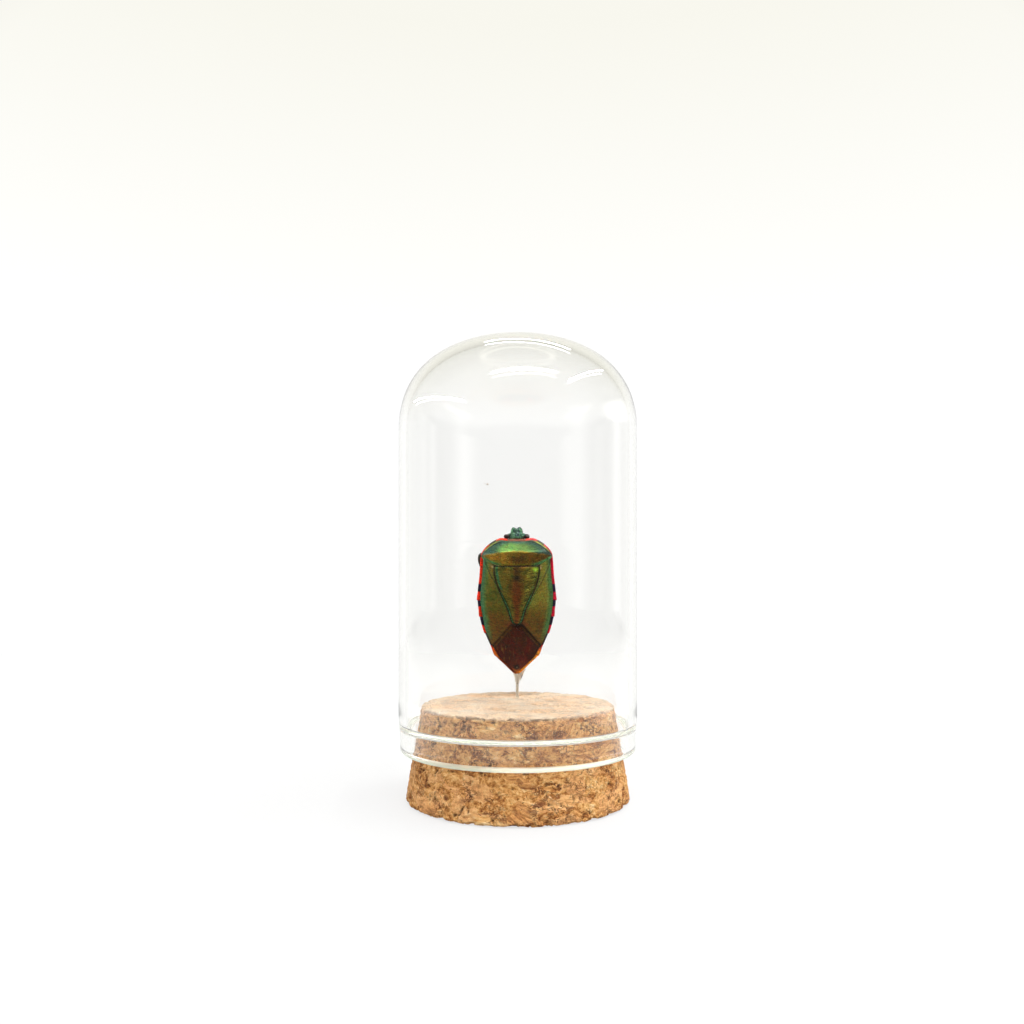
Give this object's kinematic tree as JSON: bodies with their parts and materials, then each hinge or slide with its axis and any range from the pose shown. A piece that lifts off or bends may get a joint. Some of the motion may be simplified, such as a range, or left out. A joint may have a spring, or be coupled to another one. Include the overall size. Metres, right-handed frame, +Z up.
{
  "type": "insect in a glass dome",
  "caption": "Metallic shield bug held head up on a pin in a small round-topped glass dome that stands on a tapered cork base.",
  "frame": {"origin": "centre of the cork base's flat underside", "axes": "+Z up along the dome's axis; the bug's back faces -Y and its right side, seen from behind its back, is +X"},
  "size_m": [0.04, 0.04, 0.0771],
  "materials": {
    "clear_glass": "clear, polished",
    "pressed_cork": "matte, granular",
    "pin_steel": "bright drawn wire",
    "clear_glue": "clear, slightly cloudy",
    "head_shell": "metallic blue-green, wrinkled",
    "shield_shell": "metallic green to bronze, red-edged",
    "scutellum_shell": "metallic bronze with green margins, pitted",
    "wing_leather": "metallic olive bronze, pitted, with a thin dark brown tip",
    "belly_shell": "glossy orange-red rim with dark patches"
  },
  "bodies": {
    "root": {"cork_base": "pressed_cork", "glass_dome": "clear_glass", "pin": "pin_steel", "glue_drop": "clear_glue", "head": "head_shell", "shield": "shield_shell", "scutellum": "scutellum_shell", "thorax": "belly_shell", "abdomen": "belly_shell", "forewing_left": "wing_leather", "forewing_right": "wing_leather"}
  },
  "joints": []
}
